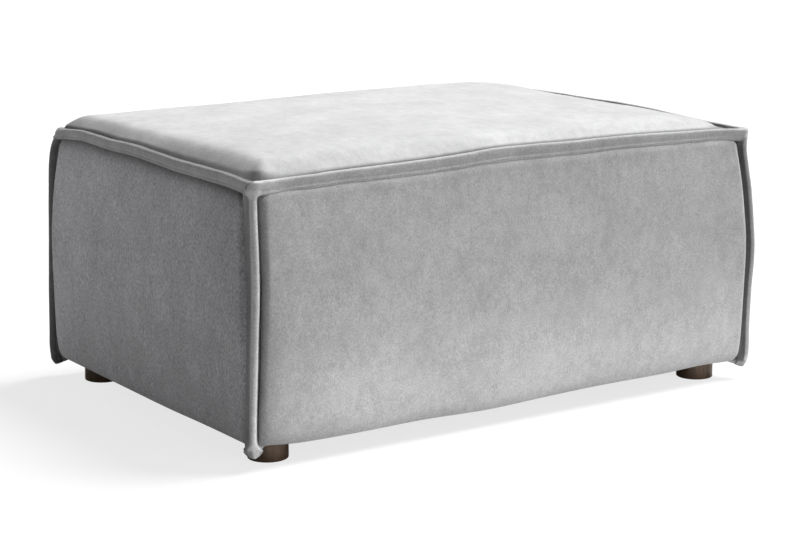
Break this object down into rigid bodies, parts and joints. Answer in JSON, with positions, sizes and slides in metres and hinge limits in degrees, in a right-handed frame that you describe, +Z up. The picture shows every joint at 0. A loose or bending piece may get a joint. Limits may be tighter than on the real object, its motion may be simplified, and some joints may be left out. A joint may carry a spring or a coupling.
{
  "type": "ottoman coffee table",
  "caption": "Low rectangular upholstered ottoman with a crowned soft top, padded side panels, flanged seams on every edge and short round feet.",
  "frame": {"origin": "centre of the ottoman's footprint, on the floor", "axes": "+X along the long side, +Z up, the front long side faces -Y"},
  "size_m": [0.9678, 0.6858, 0.4557],
  "materials": {
    "velvet": "matte",
    "foam": "matte",
    "wadding": "matte",
    "felt": "matte",
    "dust_cloth": "matte",
    "timber": "matte",
    "hardboard": "satin",
    "foot_finish": "satin",
    "spring_steel": "satin",
    "zinc_steel": "satin"
  },
  "bodies": {
    "root": {"back_board": "hardboard", "back_bottom_rail": "timber", "back_cover": "velvet", "back_left_flange": "velvet", "back_left_foot": "foot_finish", "back_left_post": "timber", "back_pad": "foam", "back_right_flange": "velvet", "back_right_foot": "foot_finish", "back_right_post": "timber", "back_strut": "timber", "back_top_flange": "velvet", "back_top_rail": "timber", "clip_nails": "zinc_steel", "cross_stretcher": "timber", "deck_felt": "felt", "dust_cover": "dust_cloth", "foot_inserts": "zinc_steel", "foot_studs": "zinc_steel", "front_board": "hardboard", "front_bottom_rail": "timber", "front_cover": "velvet", "front_left_flange": "velvet", "front_left_foot": "foot_finish", "front_left_post": "timber", "front_pad": "foam", "front_right_flange": "velvet", "front_right_foot": "foot_finish", "front_right_post": "timber", "front_strut": "timber", "front_top_flange": "velvet", "front_top_rail": "timber", "left_board": "hardboard", "left_bottom_rail": "timber", "left_cover": "velvet", "left_pad": "foam", "left_top_flange": "velvet", "left_top_rail": "timber", "rail_dowels": "timber", "right_board": "hardboard", "right_bottom_rail": "timber", "right_cover": "velvet", "right_pad": "foam", "right_top_flange": "velvet", "right_top_rail": "timber", "seat_foam": "foam", "seat_springs": "spring_steel", "spring_clips": "zinc_steel", "stretcher_screws": "zinc_steel", "tie_wires": "spring_steel", "top_cover": "velvet", "top_wadding": "wadding"}
  },
  "joints": []
}
